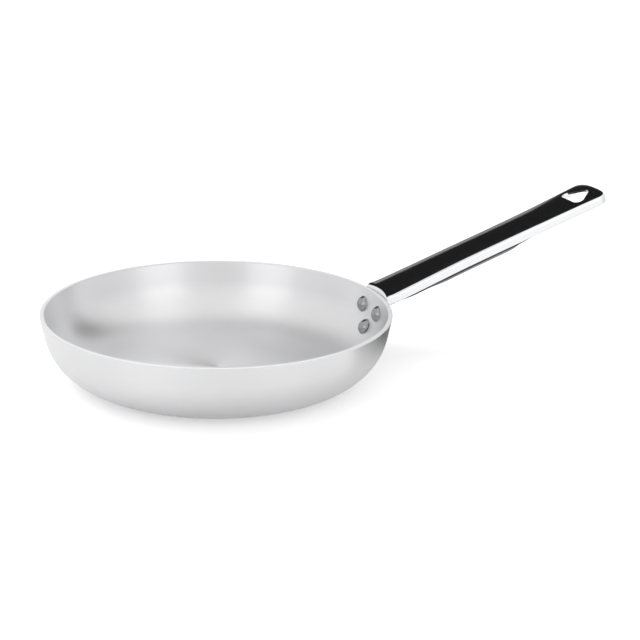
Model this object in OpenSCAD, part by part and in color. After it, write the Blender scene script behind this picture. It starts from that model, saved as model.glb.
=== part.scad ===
// Professional omelette pan: a spun aluminium body and a folded stainless
// steel handle, held together by three solid rivets. Millimetres, +Z up.
// The origin is the middle of the underside of the base and the handle
// points along +X.

/* [Pan body] */
// Outer diameter at the rim
rim_d = 240; // [200:1:320]
// Height from the underside of the base to the rim
pan_h = 46; // [42:1:70]
// Thickness of the aluminium
wall_t = 3; // [2:0.5:4]
// Outer radius of the curved heel between base and wall
heel_r = 38.6; // [30:0.2:42]
// Lean of the wall from upright above the heel, in degrees
wall_lean = 11.4; // [6:0.1:18]
// Rounding of the two edges of the rim
rim_edge_r = 0.8; // [0.3:0.1:0.9]

/* [Handle] */
// Length of the handle, from above the rim of the pan to its tip
handle_len = 186; // [170:1:260]
// Rise of the handle above level, in degrees
handle_tilt = 19.7; // [12:0.1:26]
// Height of the top face over the rim, measured straight above the rim
handle_lift = 3.7; // [3:0.1:4.6]
// Thickness of the steel sheet
sheet_t = 1.5; // [1:0.1:1.8]
// Width of the handle next to the pan
root_w = 36.6; // [34:0.2:42]
// Width of the handle at its waist
waist_w = 32.6; // [28:0.2:34]
// Width of the handle at its rounded end
tip_w = 38.2; // [34:0.2:42]
// Distance from the rim to the waist
waist_at = 85; // [70:1:100]
// Length of the rounded end
nose_len = 21; // [16:1:26]
// Squareness of the rounded end, 2 for a plain ellipse
nose_power = 2.5; // [2:0.1:3]
// Height of the crown of the top face over its long edges
crown_h = 0.6; // [0.2:0.1:0.8]
// Radius of the long edges of the top face
edge_r = 2.8; // [2.2:0.1:3.2]
// Depth of the sides below the crown
side_h = 7.4; // [6.8:0.1:9]
// Depth of the sides at the rounded end
nose_side_h = 6.8; // [6:0.1:9]
// Radius of the folds between the sides and the belly
fold_r = 2; // [1.9:0.1:2.6]
// Depth of the belly below the sides
belly_h = 7.6; // [6:0.1:9]
// Gap of the seam where both wings meet under the handle
seam_gap = 0.6; // [0.4:0.1:2]
// Distance from the rim at which the wings leave the sides
wing_start = 4; // [1:1:10]
// Distance from the rim at which the wings have met
closed_start = 50; // [40:1:60]
// Distance from the rim at which the wings part again
closed_end = 84; // [70:1:98]
// Distance from the rim at which the wings have gone
wing_end = 126; // [112:1:136]
// Radius of the bend between handle and wall plate
bend_r = 4.5; // [4.2:0.1:7]

/* [Hanging hole] */
// Distance from the tip to the far end of the hole
hole_inset = 7.5; // [6:0.5:12]
// Length of the hole along the handle
hole_len = 17.5; // [15:0.5:22]
// Width of the hole across the handle
hole_w = 23.4; // [18:0.2:24]
// Radius of the corners of the hole
hole_r = 4.5; // [2:0.5:5]

/* [Rivets] */
// Diameter of a rivet shank
rivet_d = 5; // [4:0.5:6]
// Play between a shank and its hole, on the diameter
rivet_play = 0.1; // [0.04:0.02:0.3]
// Diameter of the domed head inside the pan
head_d = 11.6; // [9.6:0.1:12.4]
// Height of the domed head
head_h = 3.6; // [2:0.1:4]
// Diameter of the formed tail outside the wall plate
tail_d = 9; // [8:0.5:10]
// Height of the formed tail
tail_h = 2.2; // [1.5:0.1:3]
// Distance between the two upper rivets
rivet_pitch = 25.6; // [24:0.2:27]
// Depth of the upper rivets below the rim
upper_drop = 12.5; // [11.5:0.1:13.5]
// Depth of the lower rivet below the rim
lower_drop = 26.1; // [25:0.1:28]
// Sheet left round the holes of the rivets at the edge of the wall plate
plate_margin = 6; // [5.5:0.1:7]
// Gap between the wall plate and the wall
plate_fit = 0.06; // [0.05:0.01:0.2]

/* [Hidden] */
$fn = 96;
aluminium = [0.86, 0.87, 0.88];
steel = [0.62, 0.63, 0.65];
deg = 180 / PI;

// Outline of the wall. Radius of the sharp edge of which the rounding leaves the outer diameter
rim_r = rim_d / 2 + rim_edge_r * (1 / tan(45 - wall_lean / 2) - 1);
// Height at which the heel ends and the straight flare starts, and radius of the flat base
heel_h = heel_r * (1 - sin(wall_lean));
base_r = rim_r - (pan_h - heel_h) * tan(wall_lean) - heel_r * cos(wall_lean);
// Length of the flare, measured down the wall
flare_len = (pan_h - heel_h) / cos(wall_lean);

// Lean of the wall, its outer radius and its height at the distance d down the wall from the rim
function lean_at(d) = d <= flare_len ? wall_lean : wall_lean + (d - flare_len) / heel_r * deg;
function wall_r(d) = d <= flare_len ? rim_r - d * sin(wall_lean) : base_r + heel_r * cos(lean_at(d));
function wall_z(d) = d <= flare_len ? pan_h - d * cos(wall_lean) : heel_r * (1 - sin(lean_at(d)));
// Distance down the wall of a point that lies below the rim by drop
function down_wall(drop) = drop <= pan_h - heel_h ? drop / cos(wall_lean)
    : flare_len + (asin(1 - (pan_h - drop) / heel_r) - wall_lean) / deg * heel_r;

// The bowl up to the distance t inside its outer face, up to the height top
module bowl_side(t, top) {
    translate([0, t]) square([base_r, top - t]);
    intersection() {
        translate([base_r, heel_r]) circle(heel_r - t);
        translate([base_r, 0]) square(heel_r);
    }
    lead = [rim_r - t / cos(wall_lean), pan_h];
    bend = [base_r + (heel_r - t) * cos(wall_lean), heel_r - (heel_r - t) * sin(wall_lean)];
    polygon([[0, heel_r], [base_r, heel_r], bend,
        lead + (top - pan_h) * [tan(wall_lean), 1], [0, top]]);
}

// What the rounding takes off an edge at the point p whose faces leave it at a and at b
module edge_cut(p, a, b, r) {
    half = (b - a) / 2;
    reach = r / tan(half);
    mid = p + r / sin(half) * [cos(a + half), sin(a + half)];
    difference() {
        polygon([p - 0.2 * [cos(a + half), sin(a + half)], p + reach * [cos(a), sin(a)], mid,
            p + reach * [cos(b), sin(b)]]);
        translate(mid) circle(r);
    }
}

module pan_body() {
    color(aluminium) difference() {
        rotate_extrude($fn = 180) difference() {
            bowl_side(0, pan_h);
            bowl_side(wall_t, pan_h + 5);
            edge_cut([rim_r, pan_h], 180, 270 - wall_lean, rim_edge_r);
            edge_cut([rim_r - wall_t / cos(wall_lean), pan_h], 270 - wall_lean, 360, rim_edge_r);
        }
        rivet_bores();
    }
}

// Path of the handle. The top face meets the pan side of the wall plate at corner, if there were no bend
top_start = [rim_r, pan_h + handle_lift];
along = [cos(handle_tilt), sin(handle_tilt)];
over = [-sin(handle_tilt), cos(handle_tilt)];
to_corner = (plate_fit / cos(wall_lean) + handle_lift * tan(wall_lean))
    / (cos(handle_tilt) - sin(handle_tilt) * tan(wall_lean));
turn = 90 - wall_lean - handle_tilt;
bend_reach = bend_r * tan(turn / 2);
straight_start = to_corner + bend_reach;
bend_mid = top_start + straight_start * along - bend_r * over;
bend_len = bend_r * turn / deg;
nose_start = handle_len - nose_len;
// Distance down the wall at which the bend starts; it lies above the rim if negative
plate_top = (wall_z(0) - (top_start + to_corner * along)[1]) / cos(wall_lean) + bend_reach;

// Half of the width at the distance s from the rim
waist_root = (root_w - waist_w) / 2 / pow(waist_at, 2);
waist_tip = (tip_w - waist_w) / 2 / pow(handle_len - waist_at, 2);
function half_w(s) = waist_w / 2 + (s < waist_at ? waist_root : waist_tip) * pow(s - waist_at, 2);

// How far the wings are folded on under the handle at s: 0 open sides, 1 a closed seam
function ease(u) = let (c = max(0, min(1, u))) c * c * (3 - 2 * c);
function rounding(s) = ease((s - wing_start) / (closed_start - wing_start));
function wing(s) = min(rounding(s), ease((wing_end - s) / (wing_end - closed_end)));

// Depth of the sides at s
function side_at(s) = side_h
    + (nose_side_h - side_h) * ease((s - wing_end) / (nose_start - wing_end));

// Outline of the wall plate: round the two upper rivets, then straight down to the lower one
upper_d = beside_heel(down_wall(upper_drop));
lower_d = beside_heel(down_wall(lower_drop));
// A bore keeps clear of the line on which the flare meets the heel
function beside_heel(d) = let (clear = (rivet_d + rivet_play) / 2 + 0.2)
    abs(d - flare_len) >= clear ? d : d < flare_len ? flare_len - clear : flare_len + clear;
taper = atan2(lower_d - upper_d, rivet_pitch / 2);
function plate_half(d) =
    d <= upper_d ? rivet_pitch / 2 + plate_margin
    : d <= upper_d + plate_margin * cos(taper)
        ? rivet_pitch / 2 + sqrt(pow(plate_margin, 2) - pow(d - upper_d, 2))
    : d <= lower_d + plate_margin * cos(taper)
        ? rivet_pitch / 2 + plate_margin * sin(taper)
            - (d - upper_d - plate_margin * cos(taper)) / tan(taper)
    : sqrt(pow(plate_margin, 2) - pow(d - lower_d, 2));

// Cross-section of the handle: the folded sheet is followed from the middle of its top face round
// to its cut edge, in steps
top_steps = 4;
edge_steps = 4;
side_steps = 9;
// Steps that the straight side and the fold under it take if the sheet goes on to the seam
flat_steps = 1;
fold_steps = 3;
steps = top_steps + edge_steps + side_steps;

// Slope of the crown c at the edge of a top face of the half width a, width of that face and
// length of its rounded edge
function slope_of(a, c) = atan(2 * c / (a - edge_r));
function face_of(a, c) = a - edge_r * (1 - sin(slope_of(a, c)));
function edge_of(a, c) = edge_r * (90 - slope_of(a, c)) / deg;

// Place of step i on a sheet that has the length rest behind its rounded edge
function step_at(i, face, edge, rest) = i <= top_steps ? face * i / top_steps
    : i <= top_steps + edge_steps ? face + edge * (i - top_steps) / edge_steps
    : face + edge + rest * (i - top_steps - edge_steps) / side_steps;

// Point [w, z, facing] of the outer skin at the distance far along the sheet from its middle, if
// its long edge is folded down by the share f
function fold_point(far, a, f, c) = let (
        slope = slope_of(a, c),
        face = face_of(a, c),
        edge = edge_of(a, c),
        sweep = (90 - slope) * f,
        u = min(1, (far - face) / edge),
        facing = slope + sweep * u,
        chord = sweep < 0.5 ? edge * u : 2 * edge * deg / sweep * sin(sweep * u / 2),
        rest = far - face - edge * u
    )
    far <= face ? [far, -c * pow(far / face, 2), atan(2 * c * far / pow(face, 2))]
    : [face + chord * cos(slope + sweep * u / 2) + rest * cos(facing),
        -c - chord * sin(slope + sweep * u / 2) - rest * sin(facing), facing];

// The same at step i of the grip: top face, rounded edge, side, and the part of the fold and of
// the belly that the wing reaches. The belly is a flat arc that leaves the fold without a kink.
function skin(i, a, s) = let (
        side = side_at(s) - crown_h - edge_r * cos(slope_of(a, crown_h)),
        m = (flat_steps + (side_steps - flat_steps) * wing(s))
            * (i - top_steps - edge_steps) / side_steps
    )
    m <= flat_steps
        ? fold_point(i <= top_steps + edge_steps
            ? step_at(i, face_of(a, crown_h), edge_of(a, crown_h), 0)
            : face_of(a, crown_h) + edge_of(a, crown_h) + side * m / flat_steps, a, 1, crown_h)
    : let (
        turned = 90 - 2 * atan(rounding(s) * (belly_h - fold_r) / (a - fold_r)),
        r = (a - fold_r * (1 - cos(turned))) / cos(turned),
        n = m - flat_steps - fold_steps,
        b = n <= 0 ? turned * (n + fold_steps) / fold_steps
            : turned + (acos(seam_gap / 2 / r) - turned) * n
                / (side_steps - flat_steps - fold_steps)
    )
    n <= 0 ? [a - fold_r * (1 - cos(b)), -side_at(s) - fold_r * sin(b), 90 + b]
    : [r * cos(b), -side_at(s) - fold_r * sin(turned) - r * (sin(b) - sin(turned)), 90 + b];

// The same point moved through the sheet by depth, as [across, height over the top face]
function layer(q, depth) = [q[0] - depth * sin(q[2]), q[1] - depth * cos(q[2])];

// Next to the pan the sides end against the wall. They stand between the edge of the top face and
// a foot line, which runs from the wall plate, at flange_d down the wall, to the straight handle.
flange_d = (side_h / cos(handle_tilt) - handle_lift - (plate_fit + edge_r) * sin(wall_lean)
    - ((plate_fit + edge_r) * cos(wall_lean) - rim_r + sqrt(pow(rim_r, 2) - pow(half_w(0), 2)))
        * tan(handle_tilt)) / (cos(wall_lean) - sin(wall_lean) * tan(handle_tilt));
foot_start = on_wall(flange_d, half_w(0), edge_r);
foot_end = top_start + straight_start * along - side_h * over;

// Point [x, z] over the wall by height, at the distance d down it and w from the middle
function on_wall(d, w, height) = let (r = wall_r(d) + (plate_fit + height) * cos(lean_at(d)))
    [sqrt(r * r - w * w), wall_z(d) - (plate_fit + height) * sin(lean_at(d))];

// Step i of a side next to the pan: from its upper end p to the foot line at the share u of it
function side_point(p, i, u) = let (
        q = u <= 1 ? foot_start + (foot_end - foot_start) * u : foot_end + (u - 1) * along,
        j = (i - top_steps - edge_steps) / side_steps
    )
    [p[0] + (q[0] - p[0]) * j, p[1], p[2] + (q[1] - p[2]) * j];

// Point of the plate at the distance d down the wall, at step i, on the skin at depth. The fold
// of the long edges begins 3 below flange_d.
function plate_point(d, i, side, depth) = let (
        f = ease((flange_d + 3 - d) / 3),
        even = ease((d - flange_d - 3) / (upper_d - flange_d - 3)),
        face = face_of(half_w(0), 0),
        reach = f * (face + edge_of(half_w(0), 0) + 0.3) + (1 - f) * plate_half(d),
        edge = min(edge_of(half_w(0), 0), reach - face - 0.3),
        n = d < flange_d ? min(i, top_steps + edge_steps) : i,
        far = even * reach * n / steps + (1 - even) * step_at(n, face, edge, reach - face - edge),
        p = layer(fold_point(far, half_w(0), f, 0), depth),
        o = on_wall(d, p[0], -p[1])
    )
    n == i ? [o[0], side * p[0], o[1]]
    : side_point([o[0], side * p[0], o[1]], i,
        (flange_d - d) / (flange_d - plate_top + bend_len));

// Point of the bend after the length l of it
function bend_point(l, i, side, depth) = let (
        k = min(1, l / (bend_len + 3)),
        s = l > bend_len ? straight_start + l - bend_len : straight_start,
        a = l > bend_len ? handle_tilt : 90 - wall_lean - l / bend_r * deg,
        o = l > bend_len ? top_start + s * along : bend_mid + bend_r * [-sin(a), cos(a)],
        n = min(i, top_steps + edge_steps),
        far = step_at(n, face_of(half_w(s), crown_h * k), edge_of(half_w(s), crown_h * k), 0),
        p = layer(fold_point(far, half_w(s), 1, crown_h * k), depth),
        sag = (1 - k) * (o[0] - sqrt(o[0] * o[0] - pow(p[0], 2))),
        top = [o[0] - sag - sin(a) * p[1], side * p[0], o[1] + cos(a) * p[1]]
    )
    n == i ? top
    : side_point(top, i, l > bend_len ? 1 + l - bend_len
        : (flange_d - plate_top + l) / (flange_d - plate_top + bend_len));

// Point of the straight handle at the distance s
function grip_point(s, i, side, depth) = let (
        p = layer(skin(i, half_w(s), s), depth),
        o = top_start + s * along + p[1] * over
    )
    [o[0], side * p[0], o[1]];

// Point of the rounded end, on the section that is swung round by the share u of a quarter turn
function nose_point(u, i, side, depth) = let (
        x = u < 1 ? nose_len * pow(sin(90 * u), 2 / nose_power) : nose_len,
        y = u < 1 ? half_w(nose_start + x) * pow(cos(90 * u), 2 / nose_power) : 0,
        reach = norm([x, y]),
        p = layer(skin(i, reach, nose_start), depth),
        o = top_start + (nose_start + p[0] * x / reach) * along + p[1] * over
    )
    [o[0], side * p[0] * y / reach, o[1]];

// Stations along the sheet, from the lower end of the plate to the tip
function spread(a, b, n) = [for (i = [0 : n - 1]) a + (b - a) * i / n];
plate_at = concat(
    [for (a = [76, 62]) lower_d + plate_margin * sin(a)],
    spread(lower_d + plate_margin * cos(taper), upper_d + plate_margin * cos(taper), 7),
    spread(upper_d + plate_margin * cos(taper), upper_d, 2),
    spread(upper_d, flange_d + 3, 4),
    spread(flange_d + 3, flange_d, 6),
    [flange_d],
    spread(flange_d - 0.3, plate_top, 5)
);
bend_at = concat(spread(0, bend_len, 7), [bend_len, bend_len + 1.5]);
grip_from = straight_start + 3;
grip_at = concat(
    spread(grip_from, closed_start, 10),
    spread(closed_start, closed_end, 4),
    spread(closed_end, wing_end, 10),
    spread(wing_end, nose_start, 4),
    [nose_start]
);
nose_steps = 9;
plate_n = len(plate_at);
bend_n = len(bend_at);
grip_n = len(grip_at);
rows = plate_n + bend_n + grip_n;

function row_point(n, i, side, depth) =
    n < plate_n ? plate_point(plate_at[n], i, side, depth)
    : n < plate_n + bend_n ? bend_point(bend_at[n - plate_n], i, side, depth)
    : grip_point(grip_at[n - plate_n - bend_n], i, side, depth);

// All points of one skin: full rows first, then the two halves of each section of the nose. The
// sections of the nose share the middle point of the last full row; the last one has no sides.
row_len = 2 * steps + 1;
skin_len = rows * row_len + (2 * nose_steps - 1) * steps;
function skin_points(depth) = concat(
    [for (n = [0 : rows - 1], i = [-steps : steps]) row_point(n, abs(i), i < 0 ? -1 : 1, depth)],
    [for (n = [1 : nose_steps - 1], side = [-1, 1], i = [1 : steps])
        nose_point(n / nose_steps, i, side, depth)],
    [for (i = [1 : steps]) nose_point(1, i, 1, depth)]
);
function at(n, i) = n < rows ? n * row_len + i + steps
    : i == 0 ? (rows - 1) * row_len + steps
    : n - rows < nose_steps - 1
        ? rows * row_len + (2 * (n - rows) + (i > 0 ? 1 : 0)) * steps + abs(i) - 1
    : rows * row_len + 2 * (nose_steps - 1) * steps + abs(i) - 1;

// Two triangles of a patch, less the one that has shrunk to nothing round the middle of the nose
function patch(a, b, c, d) = concat(
    a == b || b == c || a == c ? [] : [[a, b, c]],
    a == c || c == d || a == d ? [] : [[a, c, d]]
);
function flip(list) = [for (f = list) [f[2], f[1], f[0]]];
last = rows + nose_steps - 1;
outer_faces = [for (n = [0 : last - 1], i = [0 : steps - 1])
    each concat(flip(patch(at(n, i), at(n + 1, i), at(n + 1, i + 1), at(n, i + 1))),
        patch(at(n, -i), at(n + 1, -i), at(n + 1, -i - 1), at(n, -i - 1)))];
inner_faces = [for (f = flip(outer_faces)) [f[0] + skin_len, f[1] + skin_len, f[2] + skin_len]];
cut_edges = [for (n = [0 : last - 1])
    each concat(
        flip(patch(at(n, steps), at(n + 1, steps), at(n + 1, steps) + skin_len,
            at(n, steps) + skin_len)),
        patch(at(n, -steps), at(n + 1, -steps), at(n + 1, -steps) + skin_len,
            at(n, -steps) + skin_len))];
plate_end = [for (i = [-steps : steps - 1])
    each flip(patch(at(0, i), at(0, i + 1), at(0, i + 1) + skin_len, at(0, i) + skin_len))];

module handle() {
    color(steel) difference() {
        polyhedron(concat(skin_points(0), skin_points(sheet_t)),
            concat(outer_faces, inner_faces, cut_edges, plate_end));
        hanging_hole();
        rivet_bores();
    }
}

// Rounded triangle, wide toward the pan and narrow toward the tip
module hanging_hole() {
    wide = [handle_len - hole_inset - hole_len + hole_r, hole_w / 2 - hole_r];
    tight = handle_len - hole_inset - hole_r;
    slope = atan2(wide[1], tight - wide[0]);
    off = hole_r * [sin(slope), cos(slope)];
    translate([top_start[0], 0, top_start[1]])
        rotate([0, -handle_tilt, 0])
            translate([0, 0, -3 - sheet_t]) linear_extrude(6 + sheet_t) {
                for (side = [-1, 1]) translate([wide[0], side * wide[1]]) circle(hole_r);
                translate([tight, 0]) circle(hole_r);
                polygon([
                    [wide[0] - hole_r, wide[1]],
                    [wide[0], wide[1]],
                    wide + off,
                    [tight, 0] + off,
                    [tight, 0],
                    [tight + off[0], -off[1]],
                    [wide[0] + off[0], -wide[1] - off[1]],
                    [wide[0], -wide[1]],
                    [wide[0] - hole_r, -wide[1]]
                ]);
            }
}

// Places its children with the origin on the outer face of the wall and +Z toward the inside
module at_rivet(across, d) {
    rotate([0, 0, asin(across / wall_r(d))])
        translate([wall_r(d), 0, wall_z(d)])
            rotate([0, lean_at(d) - 90, 0]) children();
}

module rivet_bores() {
    for (side = [-1, 1])
        at_rivet(side * rivet_pitch / 2, upper_d)
            translate([0, 0, -8]) cylinder(d = rivet_d + rivet_play, h = 16);
    at_rivet(0, lower_d) translate([0, 0, -8]) cylinder(d = rivet_d + rivet_play, h = 16);
}

// A head is a cap of a ball, a tail is a lower cap with a flat end. The flat underside of the head
// rests on the hollow wall by its edge, stand above the middle.
module rivet(d) {
    hollow = d <= flare_len ? rim_r / cos(wall_lean) - wall_t : heel_r - wall_t;
    stand = wall_t + hollow - sqrt(hollow * hollow - head_d * head_d / 4) + 0.01;
    ball = (pow(head_d / 2, 2) + pow(head_h, 2)) / 2 / head_h;
    back = plate_fit + sheet_t + 0.01;
    tail = (pow(tail_d / 2, 2) + pow(tail_h + 0.6, 2)) / 2 / (tail_h + 0.6);
    color(steel) rotate_extrude() {
        translate([0, -back - 0.5]) square([rivet_d / 2, back + stand + 1]);
        intersection() {
            translate([0, stand + head_h - ball]) circle(ball);
            translate([0, stand]) square([head_d, head_h + 1]);
        }
        intersection() {
            translate([0, -back - tail_h - 0.6 + tail]) circle(tail);
            translate([0, -back - tail_h]) square([tail_d, tail_h]);
        }
    }
}

module rivet_upper_left() { at_rivet(-rivet_pitch / 2, upper_d) rivet(upper_d); }
module rivet_upper_right() { at_rivet(rivet_pitch / 2, upper_d) rivet(upper_d); }
module rivet_lower() { at_rivet(0, lower_d) rivet(lower_d); }

pan_body();
handle();
rivet_upper_left();
rivet_upper_right();
rivet_lower();
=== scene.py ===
"""Omelette pan: spun aluminium body, folded steel handle, three rivets.

Metres, +Z up, the handle along +X, the origin under the middle of the base.
"""
import math

import bmesh
import bpy
import numpy as np
from mathutils import Matrix, Vector


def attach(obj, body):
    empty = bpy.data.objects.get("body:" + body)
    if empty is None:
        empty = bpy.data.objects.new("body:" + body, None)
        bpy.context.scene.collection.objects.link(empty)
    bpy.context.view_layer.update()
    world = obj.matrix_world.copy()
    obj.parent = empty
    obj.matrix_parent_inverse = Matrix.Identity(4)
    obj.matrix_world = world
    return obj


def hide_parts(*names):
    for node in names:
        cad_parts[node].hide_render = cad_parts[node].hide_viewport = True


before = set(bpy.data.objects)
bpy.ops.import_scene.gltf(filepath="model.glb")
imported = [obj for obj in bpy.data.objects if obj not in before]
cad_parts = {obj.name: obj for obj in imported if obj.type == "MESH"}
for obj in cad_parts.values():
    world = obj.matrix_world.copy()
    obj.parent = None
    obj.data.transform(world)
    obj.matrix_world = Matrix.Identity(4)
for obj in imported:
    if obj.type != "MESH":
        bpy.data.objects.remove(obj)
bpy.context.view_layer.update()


# The view: a long lens looks down on the pan from in front of it, with the handle
# pointing away to the right. The camera first looks at the middle of the rim and is then
# turned, nodded and rolled a little. The angles are in degrees.
LOOK_AT = Vector((0, 0, 0.046))
VIEW_AZIMUTH = -17.955
VIEW_HEIGHT = 17.910
VIEW_DISTANCE = 1.0
TURN, NOD, ROLL = -4.241, -0.414, -1.3134
SENSOR_MM, FRAME_PIXELS, FOCAL_PIXELS = 36, 640, 1455.757

azimuth, height = math.radians(VIEW_AZIMUTH), math.radians(VIEW_HEIGHT)
forward = Vector((-math.sin(azimuth) * math.cos(height),
                  math.cos(azimuth) * math.cos(height), -math.sin(height)))
right = forward.cross(Vector((0, 0, 1))).normalized()
standpoint = LOOK_AT - forward * VIEW_DISTANCE
turn = Matrix.Rotation(math.radians(TURN), 3, "Z")
forward, right = turn @ forward, turn @ right
nod = Matrix.Rotation(math.radians(NOD), 3, right)
forward = nod @ forward
upward = right.cross(forward)
roll = Matrix.Rotation(math.radians(ROLL), 3, forward)
right, upward = roll @ right, roll @ upward

camera = bpy.data.objects.new("camera", bpy.data.cameras.new("camera"))
camera.data.sensor_width = SENSOR_MM
camera.data.lens = SENSOR_MM * FOCAL_PIXELS / FRAME_PIXELS
camera.data.clip_start, camera.data.clip_end = 0.05, 20
camera.matrix_world = Matrix((
    (right.x, upward.x, -forward.x, standpoint.x),
    (right.y, upward.y, -forward.y, standpoint.y),
    (right.z, upward.z, -forward.z, standpoint.z),
    (0, 0, 0, 1)))
bpy.context.scene.collection.objects.link(camera)
bpy.context.scene.camera = camera


# The pan body: one disc of 3 mm aluminium, spun over a former into a shallow bowl with
# a flat base, a curved heel and a leaning wall, and cut off level at the rim. The tool
# marks of spinning run round it, and give its satin face streaks across them.
RIM_D, PAN_H, WALL_T, HEEL_R, EDGE_R = 0.240, 0.046, 0.003, 0.0386, 0.0008
LEAN = math.radians(11.4)
RIM_R = RIM_D / 2 + EDGE_R * (1 / math.tan(math.pi / 4 - LEAN / 2) - 1)
HEEL_H = HEEL_R * (1 - math.sin(LEAN))
BASE_R = RIM_R - (PAN_H - HEEL_H) * math.tan(LEAN) - HEEL_R * math.cos(LEAN)
# Points on the base and on the heel, parts of the wall and of the rim's flat, points on a
# rounded edge, and steps round the axis.
BASE_COUNT, HEEL_COUNT, WALL_COUNT, RIM_COUNT, EDGE_COUNT, ROUND_COUNT = 24, 40, 8, 3, 9, 360
# The tone of the metal, what its blue has more, and the heights over which the duller face
# of the cut rim sets in.
ALUMINIUM_TONE, ALUMINIUM_BLUE, CUT_RIM_START, CUT_RIM_FULL = 0.84, 0.008, 0.0450, 0.0454
# Points of a mesh that lie this close are one.
WELD = 1e-6


def arc(middle, radius, start, end, count):
    """Points on a circle, from the angle start to the angle end in equal steps."""
    angle = np.linspace(start, end, count)
    return np.stack([middle[0] + radius * np.cos(angle), middle[1] + radius * np.sin(angle)], 1)


def bowl_outline():
    """Half section of the bowl as (radius, height): out along the underside of the base,
    up the heel and the flare, over the two rounded edges of the rim and back inside."""
    quarter = math.pi / 2
    base = np.stack([np.linspace(0, BASE_R, BASE_COUNT)[:-1], np.zeros(BASE_COUNT - 1)], 1)
    heel = arc((BASE_R, HEEL_R), HEEL_R, -quarter, -LEAN, HEEL_COUNT)
    reach = EDGE_R / math.tan(math.pi / 4 - LEAN / 2)
    outer = arc((RIM_R - reach, PAN_H - EDGE_R), EDGE_R, -LEAN, quarter, EDGE_COUNT)
    near = EDGE_R / math.tan(math.pi / 4 + LEAN / 2)
    inside = RIM_R - WALL_T / math.cos(LEAN)
    inner = arc((inside + near, PAN_H - EDGE_R), EDGE_R, quarter, math.pi - LEAN, EDGE_COUNT)
    hollow = arc((BASE_R, HEEL_R), HEEL_R - WALL_T, -LEAN, -quarter, HEEL_COUNT)
    floor = np.stack([np.linspace(BASE_R, 0, BASE_COUNT)[1:], np.full(BASE_COUNT - 1, WALL_T)], 1)

    def between(a, b, count):
        """Points that divide the line from a to b in count parts, without its ends."""
        share = np.linspace(0, 1, count + 1)[1:-1, None]
        return a + (b - a) * share
    return np.concatenate([base, heel, between(heel[-1], outer[0], WALL_COUNT), outer,
                           between(outer[-1], inner[0], RIM_COUNT), inner,
                           between(inner[-1], hollow[0], WALL_COUNT), hollow, floor])


def grid_mesh(name, points, uv):
    """A mesh whose vertices are points[row, column] and whose faces join neighbours. uv
    holds a pair for each point."""
    rows, columns = points.shape[:2]
    index = np.arange(rows * columns).reshape(rows, columns)
    quads = np.stack([index[:-1, :-1], index[:-1, 1:], index[1:, 1:], index[1:, :-1]], -1)
    quads = quads.reshape(-1, 4)
    mesh = bpy.data.meshes.new(name)
    mesh.vertices.add(rows * columns)
    mesh.vertices.foreach_set("co", points.reshape(-1).astype(np.float32))
    mesh.loops.add(quads.size)
    mesh.loops.foreach_set("vertex_index", quads.reshape(-1).astype(np.int32))
    mesh.polygons.add(len(quads))
    mesh.polygons.foreach_set("loop_start", np.arange(0, quads.size, 4, dtype=np.int32))
    mesh.polygons.foreach_set("loop_total", np.full(len(quads), 4, dtype=np.int32))
    mesh.update(calc_edges=True)
    layer = mesh.uv_layers.new(name="along")
    corners = uv.reshape(-1, 2)[quads.reshape(-1)]
    layer.data.foreach_set("uv", corners.reshape(-1).astype(np.float32))
    return mesh


def close_mesh(mesh):
    """Joins the points that lie within WELD of each other, which closes the seams and the
    poles, drops the faces that this leaves without area and smooths the rest."""
    work = bmesh.new()
    work.from_mesh(mesh)
    bmesh.ops.remove_doubles(work, verts=work.verts, dist=WELD)
    bmesh.ops.dissolve_degenerate(work, edges=work.edges, dist=WELD / 10)
    bmesh.ops.recalc_face_normals(work, faces=work.faces)
    work.to_mesh(mesh)
    work.free()
    mesh.polygons.foreach_set("use_smooth", np.ones(len(mesh.polygons), dtype=bool))
    mesh.update()
    return mesh


def add_piece(name, mesh, material, slot, *nodes):
    """Puts a finished mesh into the scene as the piece that stands for the CAD nodes."""
    piece = bpy.data.objects.new(name, mesh)
    bpy.context.scene.collection.objects.link(piece)
    mesh.materials.clear()
    mesh.materials.append(material)
    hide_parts(*nodes)
    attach(piece, "root")


def turned(name, outline, columns):
    """A surface of revolution: every point (radius, height) of the outline is carried
    round the axis. Its UV is the share of a turn and the length along the outline."""
    angle = np.linspace(0, 2 * math.pi, columns + 1)
    points = np.stack([outline[:, :1] * np.cos(angle), outline[:, :1] * np.sin(angle),
                       np.repeat(outline[:, 1:], columns + 1, 1)], -1)
    length = np.r_[0, np.cumsum(np.linalg.norm(np.diff(outline, axis=0), axis=1))]
    uv = np.stack(np.broadcast_arrays(angle[None] / (2 * math.pi), length[:, None] * 10), -1)
    return grid_mesh(name, points, uv)


def new_material(name):
    """An empty node material with its Principled shader and a helper that adds nodes."""
    material = bpy.data.materials.new(name)
    material.use_nodes = True
    tree = material.node_tree
    tree.nodes.clear()
    output = tree.nodes.new("ShaderNodeOutputMaterial")
    shader = tree.nodes.new("ShaderNodeBsdfPrincipled")
    tree.links.new(shader.outputs[0], output.inputs[0])

    def add(kind, *links, **settings):
        """A new node: links pairs its sockets with their sources, in_NAME sets the input
        NAME, and any other setting is the node's own."""
        node = tree.nodes.new("ShaderNode" + kind)
        for key, value in settings.items():
            if key.startswith("in_"):
                node.inputs[key[3:].replace("_", " ")].default_value = value
            else:
                setattr(node, key, value)
        for socket, source in links:
            tree.links.new(source, node.inputs[socket])
        return node
    return material, shader, add, tree.links


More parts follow.
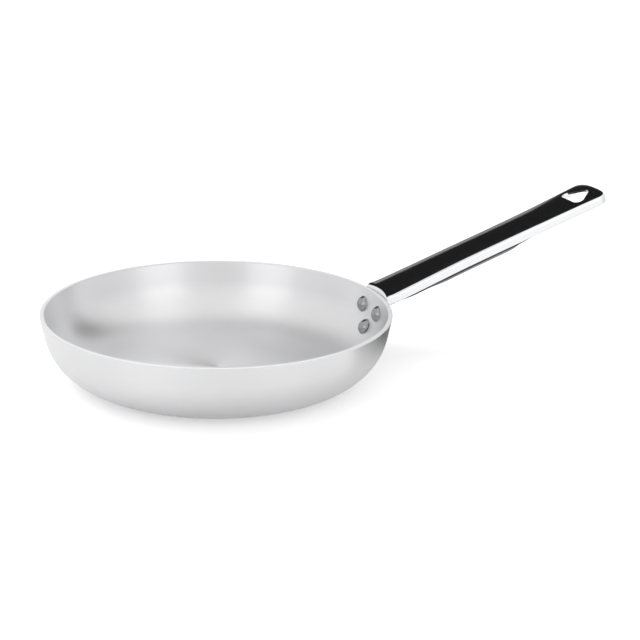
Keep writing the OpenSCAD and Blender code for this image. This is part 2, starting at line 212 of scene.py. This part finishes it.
def spun_aluminium():
    """Satin aluminium with rings: noise that changes fast along the section of the bowl and
    slowly round it tilts and roughens the face, and a slow noise makes its tone a little
    uneven. The cut face of the rim is rougher and less metallic."""
    material, shader, add, links = new_material("spun_aluminium")
    shader.inputs["Anisotropic"].default_value = 0.8
    shader.inputs["Anisotropic Rotation"].default_value = 0.25
    way = add("UVMap", uv_map="along")
    across = add("Mapping", ("Vector", way.outputs[0]), in_Scale=(2.0, 260.0, 1.0))
    rings = add("TexNoise", ("Vector", across.outputs[0]), in_Scale=1.0, in_Detail=4.0,
                in_Roughness=0.7)
    place = add("TexCoord")
    cloud = add("TexNoise", ("Vector", place.outputs["Object"]), in_Scale=9.0, in_Detail=2.0)
    tone = add("MapRange", ("Value", rings.outputs[0]), in_To_Min=-0.03, in_To_Max=0.03)
    shift = add("MapRange", ("Value", cloud.outputs[0]), in_To_Min=-0.02, in_To_Max=0.02)
    total = add("Math", (0, tone.outputs[0]), (1, shift.outputs[0]), operation="ADD")
    level = add("Math", (0, total.outputs[0]), operation="ADD")
    level.inputs[1].default_value = ALUMINIUM_TONE
    grey = add("CombineColor", ("Red", level.outputs[0]), ("Green", level.outputs[0]))
    blue = add("Math", (0, level.outputs[0]), operation="ADD")
    blue.inputs[1].default_value = ALUMINIUM_BLUE
    links.new(blue.outputs[0], grey.inputs["Blue"])
    links.new(grey.outputs[0], shader.inputs["Base Color"])
    height = add("SeparateXYZ", ("Vector", place.outputs["Object"])).outputs["Z"]
    rim = add("MapRange", ("Value", height), in_From_Min=CUT_RIM_START, in_From_Max=CUT_RIM_FULL,
              in_To_Min=0, in_To_Max=0.5)
    metal = add("MapRange", ("Value", height), in_From_Min=CUT_RIM_START,
                in_From_Max=CUT_RIM_FULL, in_To_Min=1, in_To_Max=0.4)
    links.new(metal.outputs[0], shader.inputs["Metallic"])
    rough = add("MapRange", ("Value", rings.outputs[0]), in_To_Min=0.32, in_To_Max=0.42)
    duller = add("Math", (0, rough.outputs[0]), (1, rim.outputs[0]), operation="ADD")
    links.new(duller.outputs[0], shader.inputs["Roughness"])
    bump = add("Bump", ("Height", rings.outputs[0]), in_Strength=0.06, in_Distance=0.0002)
    links.new(bump.outputs[0], shader.inputs["Normal"])
    grain = add("Tangent", direction_type="UV_MAP", uv_map="along")
    links.new(grain.outputs[0], shader.inputs["Tangent"])
    return material


bowl = close_mesh(turned("pan_body_spun", bowl_outline(), ROUND_COUNT))
add_piece("pan_body_spun", bowl, spun_aluminium(), "pan_aluminium", "pan_body")


# The handle: one blank of 1.5 mm stainless sheet. Its plate lies on the wall of the pan,
# it bends over the rim's level into the grip, its long edges are folded down, and the
# two wings are folded on under the grip until they meet in a seam. Polished all over.

# The handle's axis: its length from the rim, its tilt and its height over the rim. Its
# sheet, and its width at the root, at the waist and at the end.
LENGTH, TILT, LIFT, SHEET = 0.186, math.radians(19.7), 0.0027, 0.0015
ROOT_W, WAIST_W, TIP_W, WAIST_AT = 0.0366, 0.0326, 0.0390, 0.085
# The rounded end, the crown of the top face and the share of it that the end loses, the
# radius of the long edges, and the height and length of the bow behind the pan.
NOSE, NOSE_POWER, CROWN, CROWN_LOSS, CORNER_R = 0.0100, 2.7, 0.0012, 0.4, 0.0018
ARCH, ARCH_END = 0.0007, 0.07
# Depth of the sides, and at the end, the fold under them, the belly below it and the seam.
SIDE, NOSE_SIDE, FOLD_R, BELLY, SEAM = 0.0074, 0.0068, 0.002, 0.0084, 0.0006
# Along the axis: where the wings start, where the seam starts and ends, where they end.
WING_START, CLOSED_START, CLOSED_END, WING_END = 0.004, 0.050, 0.084, 0.126
# The bend, the gap between plate and wall, the length over which the fold and the
# wrap round the pan run out, and the least strip that is kept beside an edge.
BEND_R, PLATE_FIT, RUN_OUT, HAIR = 0.0045, 0.00006, 0.003, 0.0003
# The rivets' pitch, the drop of the upper two and of the lower one below the rim, the
# plate's margin round them, and the room between the upper ones and the heel.
PITCH, UPPER, LOWER, MARGIN, HEEL_ROOM = 0.0256, 0.0125, 0.0261, 0.006, 0.00275
# The bullnose of the cut edge, and the angle from which an edge is drawn sharp.
BULGE, BULGE_POWER, CREASE = 0.0007, 0.7, math.radians(40)
# Steps from the middle of the sheet to its edge: on the top face, on the rounded edge, on
# the side, on the fold, and all of them behind the rounded edge.
TOP, CORNER, FLAT, UNDER, FLANK = 14, 10, 6, 12, 36

flare = (PAN_H - HEEL_H) / math.cos(LEAN)
along = np.array([math.cos(TILT), math.sin(TILT)])
over = np.array([-math.sin(TILT), math.cos(TILT)])
start = np.array([RIM_R, PAN_H + LIFT])
to_corner = ((PLATE_FIT / math.cos(LEAN) + LIFT * math.tan(LEAN))
             / (math.cos(TILT) - math.sin(TILT) * math.tan(LEAN)))
bend_turn = math.pi / 2 - LEAN - TILT
bend_reach = BEND_R * math.tan(bend_turn / 2)
straight = to_corner + bend_reach
bend_mid = start + straight * along - BEND_R * over
bend_len = BEND_R * bend_turn
plate_top = (PAN_H - (start + to_corner * along)[1]) / math.cos(LEAN) + bend_reach
nose_start = LENGTH - NOSE
step = np.arange(TOP + CORNER + FLANK + 1)[None]


def wall_at(d):
    """Lean, radius and height of the outside of the wall at the distance d down it from
    the rim: a straight flare first, then the arc of the heel."""
    lean = np.where(d <= flare, LEAN, LEAN + (d - flare) / HEEL_R)
    radius = np.where(d <= flare, RIM_R - d * math.sin(LEAN), BASE_R + HEEL_R * np.cos(lean))
    level = np.where(d <= flare, PAN_H - d * math.cos(LEAN), HEEL_R * (1 - np.sin(lean)))
    return lean, radius, level


def on_wall(d, w, height):
    """Point (x, z) over the wall by height, at the distance d down it from the rim and w
    from the middle."""
    lean, radius, level = wall_at(d)
    r = radius + (PLATE_FIT + height) * np.cos(lean)
    return np.sqrt(r * r - w * w), level - (PLATE_FIT + height) * np.sin(lean)


def down_wall(drop):
    """Distance down the wall of a point that lies below the rim by drop."""
    if drop <= PAN_H - HEEL_H:
        return drop / math.cos(LEAN)
    return flare + (math.asin(1 - (PAN_H - drop) / HEEL_R) - LEAN) * HEEL_R


def ease(u):
    """Smooth step from 0 to 1."""
    c = np.clip(u, 0, 1)
    return c * c * (3 - 2 * c)


def half_width(s):
    """Half of the grip's width: two parabolas that meet at the waist."""
    root = (ROOT_W - WAIST_W) / 2 / WAIST_AT ** 2
    tip = (TIP_W - WAIST_W) / 2 / (LENGTH - WAIST_AT) ** 2
    return WAIST_W / 2 + np.where(s < WAIST_AT, root, tip) * (s - WAIST_AT) ** 2


upper_d, lower_d = min(down_wall(UPPER), flare - HEEL_ROOM), down_wall(LOWER)
taper = math.atan2(lower_d - upper_d, PITCH / 2)
root_half = ROOT_W / 2
flange_d = ((SIDE / math.cos(TILT) - LIFT - (PLATE_FIT + CORNER_R) * math.sin(LEAN)
             - ((PLATE_FIT + CORNER_R) * math.cos(LEAN) - RIM_R
                + math.sqrt(RIM_R ** 2 - root_half ** 2)) * math.tan(TILT))
            / (math.cos(LEAN) - math.sin(LEAN) * math.tan(TILT)))
foot_start = np.array(on_wall(flange_d, root_half, CORNER_R))
foot_end = start + straight * along - SIDE * over


def bow(s):
    """Rise of the grip over a straight line from the bend: it is bent up a little behind
    the pan and runs straight from there."""
    return ARCH * ease((s - straight) / ARCH_END)


def plate_half(d):
    """Half width of the wall plate: round the upper rivets, straight in to the lower one,
    and round that."""
    c, t = math.cos(taper) * MARGIN, math.tan(taper)
    round_up = PITCH / 2 + np.sqrt(np.maximum(MARGIN ** 2 - (d - upper_d) ** 2, 0))
    line = PITCH / 2 + MARGIN * math.sin(taper) - (d - upper_d - c) / t
    round_low = np.sqrt(np.maximum(MARGIN ** 2 - (d - lower_d) ** 2, 0))
    return np.where(d <= upper_d, PITCH / 2 + MARGIN,
                    np.where(d <= upper_d + c, round_up,
                             np.where(d <= lower_d + c, line, round_low)))


def top_face(a, crown):
    """Of a top face with the half width a: the slope of its crown at the edge, the width
    up to the rounded edge, and the length of that edge."""
    slope = np.arctan(2 * crown / (a - CORNER_R))
    return slope, a - CORNER_R * (1 - np.sin(slope)), CORNER_R * (math.pi / 2 - slope)


def places(i, face, edge, rest):
    """Distance along the sheet from its middle at step i: equal steps on the face, on the
    edge and on the rest behind it."""
    return np.where(i <= TOP, face * i / TOP,
                    np.where(i <= TOP + CORNER, face + edge * (i - TOP) / CORNER,
                             face + edge + rest * (i - TOP - CORNER) / FLANK))


def folded(far, a, fold, crown):
    """Point across and over the top face at the distance far along the sheet, and the way
    that its skin faces: a parabola, then an arc turned by the share fold of what is left
    to upright, then straight on."""
    slope, face, edge = top_face(a, crown)
    sweep = (math.pi / 2 - slope) * fold
    u = np.clip((far - face) / edge, 0, 1)
    facing = slope + sweep * u
    chord = np.where(sweep < 0.01, edge * u,
                     2 * edge / np.maximum(sweep, 1e-6) * np.sin(sweep * u / 2))
    rest = np.maximum(far - face - edge, 0)
    x = face + chord * np.cos(slope + sweep * u / 2) + rest * np.cos(facing)
    z = -crown - chord * np.sin(slope + sweep * u / 2) - rest * np.sin(facing)
    on_top = far <= face
    return (np.where(on_top, far, x), np.where(on_top, -crown * (far / face) ** 2, z),
            np.where(on_top, np.arctan(2 * crown * far / face ** 2), facing))


def in_sheet(point, depth):
    """The same point moved into the sheet by depth."""
    x, z, facing = point
    return x - depth * np.sin(facing), z - depth * np.cos(facing)


def grip_section(a, s):
    """Outer skin of the grip at s: top face, rounded edge, side, and the part of the fold
    and of the belly that the wing reaches. The belly is a flat arc that leaves the fold
    without a kink. The wings open toward both ends along an S-curve."""
    to_nose = ease((s - WING_END) / (nose_start - WING_END))
    crown = CROWN * (1 - CROWN_LOSS * to_nose)
    slope, face, edge = top_face(a, crown)
    level = SIDE + (NOSE_SIDE - SIDE) * to_nose
    rounding = ease((s - WING_START) / (CLOSED_START - WING_START))
    wing = np.minimum(rounding, ease((WING_END - s) / (WING_END - CLOSED_END)))
    m = (FLAT + (FLANK - FLAT) * wing) * (step - TOP - CORNER) / FLANK
    side = level - crown - CORNER_R * np.cos(slope)
    far = places(np.minimum(step, TOP + CORNER), face, edge, 0) + side * np.clip(m / FLAT, 0, 1)
    x, z, facing = folded(far, a, 1, crown)
    swept = math.pi / 2 - 2 * np.arctan(rounding * (BELLY - FOLD_R) / (a - FOLD_R))
    r = (a - FOLD_R * (1 - np.cos(swept))) / np.maximum(np.cos(swept), 1e-6)
    n = m - FLAT - UNDER
    last = np.arccos(np.minimum(SEAM / 2 / r, 1))
    b = np.where(n <= 0, swept * (n + UNDER) / UNDER,
                 swept + (last - swept) * n / (FLANK - FLAT - UNDER))
    under, belly = m > FLAT, n > 0
    x = np.where(belly, r * np.cos(b), np.where(under, a - FOLD_R * (1 - np.cos(b)), x))
    z = np.where(belly, -level - FOLD_R * np.sin(swept) - r * (np.sin(b) - np.sin(swept)),
                 np.where(under, -level - FOLD_R * np.sin(b), z))
    return x, z, np.where(under, math.pi / 2 + b, facing)


def to_foot(points, share):
    """Sides next to the pan: the steps behind the rounded edge are laid on straight lines
    to a foot line, which runs from the wall plate to the straight handle."""
    share = share[:, None]
    foot = np.where(share <= 1, foot_start + (foot_end - foot_start) * share,
                    foot_end + (share - 1) * along)
    j = ((step[0] - TOP - CORNER) / FLANK).clip(0)[None, :, None]
    fold = points[:, TOP + CORNER][:, None]
    target = np.stack([foot[:, 0], fold[:, 0, 1], foot[:, 1]], -1)[:, None]
    return np.where(j > 0, fold + (target - fold) * j, points)


def onward(a, b, count):
    """Equal steps from a to b, count of them, without a itself."""
    return np.linspace(a, b, count + 1)[1:]


def half_sheet(depth):
    """Points [station, step, xyz] of the half of the sheet that lies toward +Y: down on
    the wall the section is wrapped round the pan, in the bend it rolls up into the folded
    shape, and at the nose it swings round a fixed point."""
    # The plate, from its lower end up to the bend.
    low = lower_d + MARGIN * np.sin(np.radians([80, 74, 68, 62, 56, 50]))
    c = MARGIN * math.cos(taper)
    d = np.r_[low, np.linspace(lower_d + c, upper_d + c, 22), onward(upper_d + c, upper_d, 6),
              onward(upper_d, flange_d + RUN_OUT, 9), onward(flange_d + RUN_OUT, flange_d, 15),
              np.linspace(flange_d - HAIR, plate_top, 12)][:, None]
    fold = ease((flange_d + RUN_OUT - d) / RUN_OUT)
    even = ease((d - flange_d - RUN_OUT) / (upper_d - flange_d - RUN_OUT))
    _, face, edge = top_face(root_half, 0)
    reach = fold * (face + edge + HAIR) + (1 - fold) * plate_half(d)
    curve = np.minimum(edge, reach - face - HAIR)
    i = np.where(d < flange_d, np.minimum(step, TOP + CORNER), step)
    far = even * reach * i / step.max() + (1 - even) * places(i, face, curve, reach - face - curve)
    x, z = in_sheet(folded(far, root_half, fold, 0), depth)
    out, up = on_wall(d, x, -z)
    plate = np.stack([out, x, up], -1)
    share = (flange_d - d[:, 0]) / (flange_d - plate_top + bend_len)
    plate = np.where(d[..., None] < flange_d, to_foot(plate, share), plate)

    # The bend, along which the wrap round the pan fades out.
    gone = onward(0, bend_len + RUN_OUT, 29)
    past = gone > bend_len
    s = straight + np.maximum(gone - bend_len, 0)
    tilt = np.where(past, TILT, math.pi / 2 - LEAN - gone / BEND_R)[:, None]
    spine = np.where(past[:, None], start + s[:, None] * along + bow(s)[:, None] * over,
                     bend_mid + BEND_R * np.concatenate([-np.sin(tilt), np.cos(tilt)], 1))
    half, crown = half_width(s)[:, None], CROWN * np.minimum(1, gone / bend_len)[:, None]
    _, face, edge = top_face(half, crown)
    far = places(np.minimum(step, TOP + CORNER), face, edge, 0)
    x, z = in_sheet(folded(far, half, 1, crown), depth)
    wrap = 1 - np.minimum(1, gone / (bend_len + RUN_OUT))[:, None]
    sag = wrap * (spine[:, :1] - np.sqrt(spine[:, :1] ** 2 - x * x))
    bend = np.stack([spine[:, :1] - sag - np.sin(tilt) * z, x,
                     spine[:, 1:] + np.cos(tilt) * z], -1)
    share = np.where(past, 1 + gone - bend_len,
                     (flange_d - plate_top + gone) / (flange_d - plate_top + bend_len))
    bend = to_foot(bend, share)

    # The grip, up to its rounded end.
    s = np.r_[onward(straight + RUN_OUT, CLOSED_START, 45), onward(CLOSED_START, CLOSED_END, 15),
              onward(CLOSED_END, WING_END, 43), onward(WING_END, nose_start, 19)]
    x, z = in_sheet(grip_section(half_width(s)[:, None], s[:, None]), depth)
    spot = start + s[:, None, None] * along + (z + bow(s)[:, None])[..., None] * over
    grip = np.stack([spot[..., 0], x, spot[..., 1]], -1)

    # The rounded end.
    q = onward(0, math.pi / 2, 32)
    ahead = NOSE * np.sin(q) ** (2 / NOSE_POWER)
    aside = half_width(nose_start + ahead) * np.maximum(np.cos(q), 0) ** (2 / NOSE_POWER)
    aside[-1] = 0
    reach = np.hypot(ahead, aside)
    x, z = in_sheet(grip_section(reach[:, None], np.full((len(q), 1), nose_start)), depth)
    s = nose_start + x * (ahead / reach)[:, None]
    spot = start + s[..., None] * along + (z + bow(s))[..., None] * over
    nose = np.stack([spot[..., 0], x * (aside / reach)[:, None], spot[..., 1]], -1)
    return np.concatenate([plate, bend, grip, nose])


def cut_edge(outer, inner):
    """Rounds the cut edge of half a sheet: both skins end a little earlier, and a row of
    superelliptic bullnoses joins them."""
    ends = []
    for skin in (outer, inner):
        last = skin[:, -8:-7]
        span = np.linalg.norm(skin[:, -1:] - last, axis=2, keepdims=True)
        bulge = np.minimum(BULGE, span * 0.4)
        skin[:, -7:] = last + (skin[:, -7:] - last) * (1 - bulge / span)
        ends.append((skin[:, -1:], (skin[:, -1:] - last) / (span - bulge), bulge))
    middle, half = (ends[0][0] + ends[1][0]) / 2, (ends[0][0] - ends[1][0]) / 2
    angle = np.linspace(0, math.pi, 11)[1:-1][None, :, None]
    swing = np.sign(np.cos(angle)) * np.abs(np.cos(angle)) ** BULGE_POWER
    return middle + half * swing + ends[0][1] * ends[0][2] * np.sin(angle) ** BULGE_POWER


def folded_sheet():
    """The whole blank as one closed grid: across the outer skin from edge to edge, round
    the cut edge and back across the inner skin, at every station from plate to tip."""
    outer, inner = half_sheet(0), half_sheet(SHEET)
    rim = cut_edge(outer, inner)
    mirror = [1, -1, 1]
    points = np.concatenate([outer[:, :0:-1] * mirror, outer, rim, inner[:, :0:-1],
                             inner * mirror, rim[:, ::-1] * mirror, outer[:, -1:] * mirror], 1)
    uv = np.stack(np.broadcast_arrays(np.arange(points.shape[1])[None] / 100.0,
                                      np.arange(points.shape[0])[:, None] / 100.0), -1)
    return grid_mesh("handle_folded", points, uv)


def handle_mesh():
    """The folded sheet, with its lower end closed by a strip between the two skins."""
    mesh = folded_sheet()
    work = bmesh.new()
    work.from_mesh(mesh)
    bmesh.ops.remove_doubles(work, verts=work.verts, dist=WELD)
    rim = [edge for edge in work.edges if edge.is_boundary]
    bmesh.ops.contextual_create(work, geom=rim)
    bmesh.ops.triangulate(work, faces=[f for f in work.faces if len(f.verts) > 4])
    work.to_mesh(mesh)
    work.free()
    return close_mesh(mesh)


def hole_cutter():
    """Prism through the top face over a rounded triangle: three circles of one radius and
    their outer tangents, wide toward the pan."""
    inset, length, width, r, count = 0.0075, 0.0175, 0.0234, 0.0045, 33
    above, below = 0.004, -0.006
    wide, aside, tight = LENGTH - inset - length + r, width / 2 - r, LENGTH - inset - r
    slope = math.atan2(aside, tight - wide)
    rim = np.concatenate([
        arc((tight, 0), r, -(math.pi / 2 - slope), math.pi / 2 - slope, count),
        arc((wide, aside), r, math.pi / 2 - slope, math.pi, count),
        arc((wide, -aside), r, math.pi, 3 * math.pi / 2 + slope, count)])
    rings = []
    for level in (above, below):
        spot = start + rim[:, :1] * along + level * over
        rings.append(np.stack([spot[:, 0], rim[:, 1], spot[:, 1]], 1))
    mesh = bpy.data.meshes.new("hole_cutter")
    first = np.arange(len(rim))
    after, second = np.roll(first, -1), first + len(rim)
    sides = np.stack([first, after, after + len(rim), second], 1)
    mesh.from_pydata(np.concatenate(rings).tolist(), [],
                     sides.tolist() + [first[::-1].tolist(), second.tolist()])
    work = bmesh.new()
    work.from_mesh(mesh)
    bmesh.ops.recalc_face_normals(work, faces=work.faces)
    work.to_mesh(mesh)
    work.free()
    return mesh


def cut(mesh, cutter):
    """mesh less the closed mesh cutter, by the exact solver."""
    body = bpy.data.objects.new("cut_body", mesh)
    tool = bpy.data.objects.new("cut_tool", cutter)
    bpy.context.scene.collection.objects.link(body)
    bpy.context.scene.collection.objects.link(tool)
    less = body.modifiers.new("cut", "BOOLEAN")
    less.operation, less.solver, less.object = "DIFFERENCE", "EXACT", tool
    result = bpy.data.meshes.new_from_object(
        body.evaluated_get(bpy.context.evaluated_depsgraph_get()))
    for item, old in ((body, mesh), (tool, cutter)):
        bpy.data.objects.remove(item)
        bpy.data.meshes.remove(old)
    return result


def polished_steel():
    """Bright steel, colour of stainless, with fine polishing lines along the grip and a
    faint unevenness in its gloss."""
    material, shader, add, links = new_material("polished_steel")
    shader.inputs["Metallic"].default_value = 1.0
    place = add("TexCoord")
    lay = add("Mapping", ("Vector", place.outputs["Object"]), in_Rotation=(0, TILT, 0),
              in_Scale=(14.0, 900.0, 900.0))
    lines = add("TexNoise", ("Vector", lay.outputs[0]), in_Scale=1.0, in_Detail=3.0)
    cloud = add("TexNoise", ("Vector", place.outputs["Object"]), in_Scale=45.0, in_Detail=2.0)
    tone = add("ValToRGB", ("Fac", cloud.outputs[0]))
    tone.color_ramp.elements[0].color = (0.84, 0.85, 0.86, 1)
    tone.color_ramp.elements[1].color = (0.88, 0.88, 0.89, 1)
    links.new(tone.outputs[0], shader.inputs["Base Color"])
    rough = add("MapRange", ("Value", lines.outputs[0]), in_To_Min=0.06, in_To_Max=0.13)
    links.new(rough.outputs[0], shader.inputs["Roughness"])
    bump = add("Bump", ("Height", lines.outputs[0]), in_Strength=0.02, in_Distance=0.0001)
    links.new(bump.outputs[0], shader.inputs["Normal"])
    return material


grip = cut(handle_mesh(), hole_cutter())
grip.name = "handle_folded"
grip.polygons.foreach_set("use_smooth", np.ones(len(grip.polygons), dtype=bool))
grip.set_sharp_from_angle(angle=CREASE)
add_piece("handle_folded", grip, polished_steel(), "handle_steel", "handle")


# The rivets: solid, with a polished domed head inside the pan. The shank goes through
# wall and plate, and its end is set into a low round tail outside.
HEAD_D, HEAD_H, SHANK_D, TAIL_D, TAIL_H = 0.0116, 0.0036, 0.005, 0.009, 0.0022
TAIL_CUT, SEAT_GAP, RIVET_COUNT = 0.0006, 1e-5, 64


def rivet_outline(d):
    """Half section of a rivet on the wall at the distance d down it: the head is a cap of
    a ball, the tail a lower cap with a flat end."""
    hollow = RIM_R / math.cos(LEAN) - WALL_T if d <= flare else HEEL_R - WALL_T
    stand = WALL_T + hollow - math.sqrt(hollow ** 2 - HEAD_D ** 2 / 4) + SEAT_GAP
    ball = ((HEAD_D / 2) ** 2 + HEAD_H ** 2) / 2 / HEAD_H
    rise = math.asin((ball - HEAD_H) / ball)
    head = arc((0, stand + HEAD_H - ball), ball, math.pi / 2, rise, 20)
    back = -(PLATE_FIT + SHEET + SEAT_GAP)
    low = ((TAIL_D / 2) ** 2 + (TAIL_H + TAIL_CUT) ** 2) / 2 / (TAIL_H + TAIL_CUT)
    angle = np.linspace(math.asin(TAIL_D / 2 / low), math.acos((low - TAIL_CUT) / low), 10)
    middle = back - TAIL_H - TAIL_CUT + low
    tail = np.stack([low * np.sin(angle), middle - low * np.cos(angle)], 1)
    return np.concatenate([
        head, [[SHANK_D / 2, stand], [SHANK_D / 2, back]], tail, [[0, tail[-1, 1]]]])


def set_rivet(name, across, d):
    """The rivet's outline turned round its own axis, which stands square to the wall."""
    mesh = turned(name, rivet_outline(d), RIVET_COUNT)
    lean, radius, level = map(float, wall_at(d))
    place = (Matrix.Rotation(math.asin(across / radius), 4, "Z")
             @ Matrix.Translation((radius, 0, level))
             @ Matrix.Rotation(lean - math.pi / 2, 4, "Y"))
    mesh.transform(place)
    close_mesh(mesh)
    mesh.set_sharp_from_angle(angle=CREASE)
    return mesh


def rivet_steel():
    """Polished steel of the rivet heads, with faint marks of the setting tool. Its tone is
    kept far darker than the handle's steel: painted shade for the dark surroundings that
    the domes mirror.
    """
    material, shader, add, links = new_material("rivet_steel")
    shader.inputs["Metallic"].default_value = 1.0
    place = add("TexCoord")
    marks = add("TexNoise", ("Vector", place.outputs["Object"]), in_Scale=500.0, in_Detail=3.0)
    tone = add("ValToRGB", ("Fac", marks.outputs[0]))
    # Painted shade: both ends of the ramp are dark steel for the domes' dark reflections; the
    # spread between them is the tool marks.
    tone.color_ramp.elements[0].color = (0.30, 0.31, 0.32, 1)
    tone.color_ramp.elements[1].color = (0.38, 0.39, 0.40, 1)
    links.new(tone.outputs[0], shader.inputs["Base Color"])
    rough = add("MapRange", ("Value", marks.outputs[0]), in_To_Min=0.08, in_To_Max=0.16)
    links.new(rough.outputs[0], shader.inputs["Roughness"])
    return material


bright = rivet_steel()
for name, across, d in (("rivet_upper_left", -PITCH / 2, upper_d),
                        ("rivet_upper_right", PITCH / 2, upper_d), ("rivet_lower", 0, lower_d)):
    add_piece(name + "_set", set_rivet(name + "_set", across, d), bright, "rivet_steel", name)


# The studio: a pale floor, white all round and one lamp. Cards that only mirrors see stand
# beyond the handle, lie on the floor, hang overhead and stand beside the camera. None of
# it is the object.
FLAG_AWAY, LOW, OVER, FRONT_AWAY, FRONT_TOP = 0.16, 0.002, 1.2, 1.6, 1.3


def stage_card(name, points, glow, one_side=False):
    """A grid of points that glows evenly and that only mirrors see. A card of one side is
    seen from where the cross product of its rows' way and its columns' way points."""
    mesh = grid_mesh(name, points, np.zeros(points.shape[:2] + (2,)))
    card = bpy.data.objects.new(name, mesh)
    bpy.context.scene.collection.objects.link(card)
    material, shader, add, links = new_material(name)
    shader.inputs["Base Color"].default_value = (0, 0, 0, 1)
    shader.inputs["Specular IOR Level"].default_value = 0
    shader.inputs["Emission Color"].default_value = (1, 1, 1, 1)
    shader.inputs["Emission Strength"].default_value = glow
    if one_side:
        behind = add("NewGeometry")
        links.new(behind.outputs["Backfacing"], shader.inputs["Alpha"])
    mesh.materials.append(material)
    card.visible_camera = card.visible_shadow = card.visible_diffuse = False


def flag(name, glow, s, h):
    """An upright card beyond the handle, parallel to its axis at FLAG_AWAY from it: s is
    its reach along the axis and h its reach over it. It shows on the handle's side only."""
    line = start + np.array(s)[None, :, None] * along + np.array(h)[::-1, None, None] * over
    points = np.stack([line[..., 0], np.full((2, 2), FLAG_AWAY), line[..., 1]], -1)
    stage_card(name, points, glow, one_side=True)


flag("black_flag", glow=0.014, s=(-0.03, 0.34), h=(0.038, 0.20))
flag("grey_flag", glow=0.27, s=(0.005, 0.30), h=(-0.07, 0.038))


def flat_card(name, glow, corners):
    """A flat card with its corners in two pairs."""
    stage_card(name, np.array(corners, float).reshape(2, 2, 3), glow)


flat_card("floor_strip", glow=0.05, corners=[
    (0.145, 0.02, LOW), (0.15, -0.12, LOW), (0.40, 0.02, LOW), (0.45, -0.20, LOW)])
# Painted shadow of the handle: dimmer cards under and behind it, darkest nearest to it, that only
# its mirror-like underside sees.
for name, near, far, glow in (("floor_near", 0.02, 0.06, 0.30), ("floor_mid", 0.06, 0.11, 0.46),
                              ("floor_far", 0.11, 0.20, 0.65)):
    flat_card(name, glow=glow, corners=[
        (0.15, near, LOW), (0.15, far, LOW), (0.42, near, LOW), (0.46, far, LOW)])
flat_card("floor_light", glow=1.08, corners=[
    (0.11, -0.11, 0.003), (0.11, -0.6, 0.003), (0.45, -0.20, 0.003), (0.80, -0.6, 0.003)])
for name, x0, x1 in (("over_left", -0.8, -0.3), ("over_right", 0.25, 0.7)):
    flat_card(name, glow=1.2, corners=[
        (x0, -0.45, OVER), (x1, -0.45, OVER), (x0, 0.25, OVER), (x1, 0.25, OVER)])
for name, bearing in (("front_left", -58), ("front_right", 24)):
    sides = np.radians([bearing - 17, bearing + 17])
    (x0, y0), (x1, y1) = FRONT_AWAY * np.stack([np.sin(sides), -np.cos(sides)], 1)
    flat_card(name, glow=1.4, corners=[
        (x0, y0, 0), (x0, y0, FRONT_TOP), (x1, y1, 0), (x1, y1, FRONT_TOP)])

mesh = bpy.data.meshes.new("floor")
mesh.from_pydata([(-6, -6, 0), (6, -6, 0), (6, 6, 0), (-6, 6, 0)], [], [(0, 1, 2, 3)])
floor = bpy.data.objects.new("floor", mesh)
bpy.context.scene.collection.objects.link(floor)
material, shader, add, links = new_material("floor")
shader.inputs["Base Color"].default_value = (0.82, 0.82, 0.82, 1)
shader.inputs["Roughness"].default_value = 0.8
shader.inputs["Emission Color"].default_value = (1, 1, 1, 1)
seen = add("LightPath")
lift = add("MapRange", ("Value", seen.outputs["Is Camera Ray"]), in_To_Min=0.07, in_To_Max=0.4)
links.new(lift.outputs[0], shader.inputs["Emission Strength"])
mesh.materials.append(material)

world = bpy.data.worlds.new("studio")
bpy.context.scene.world = world
world.use_nodes = True
tree = world.node_tree
sky = tree.nodes["Background"]
path = tree.nodes.new("ShaderNodeLightPath")
level = tree.nodes.new("ShaderNodeMapRange")
level.inputs["To Min"].default_value, level.inputs["To Max"].default_value = 0.92, 1.0
tree.links.new(path.outputs["Is Camera Ray"], level.inputs["Value"])
tree.links.new(level.outputs[0], sky.inputs["Strength"])
sky.inputs["Color"].default_value = (1, 1, 1, 1)

KEY_PLACE, KEY_AIM, KEY_SIZE, KEY_WATTS = Vector((-0.7, 0.5, 1.2)), Vector((0.05, 0, 0)), 1.0, 6
lamp = bpy.data.lights.new("key", "AREA")
lamp.shape, lamp.size, lamp.energy = "SQUARE", KEY_SIZE, KEY_WATTS
key = bpy.data.objects.new("key", lamp)
key.location = KEY_PLACE
key.rotation_euler = (KEY_AIM - KEY_PLACE).to_track_quat("-Z", "Y").to_euler()
key.visible_glossy = False
bpy.context.scene.collection.objects.link(key)
bpy.context.scene.view_settings.view_transform = "Standard"
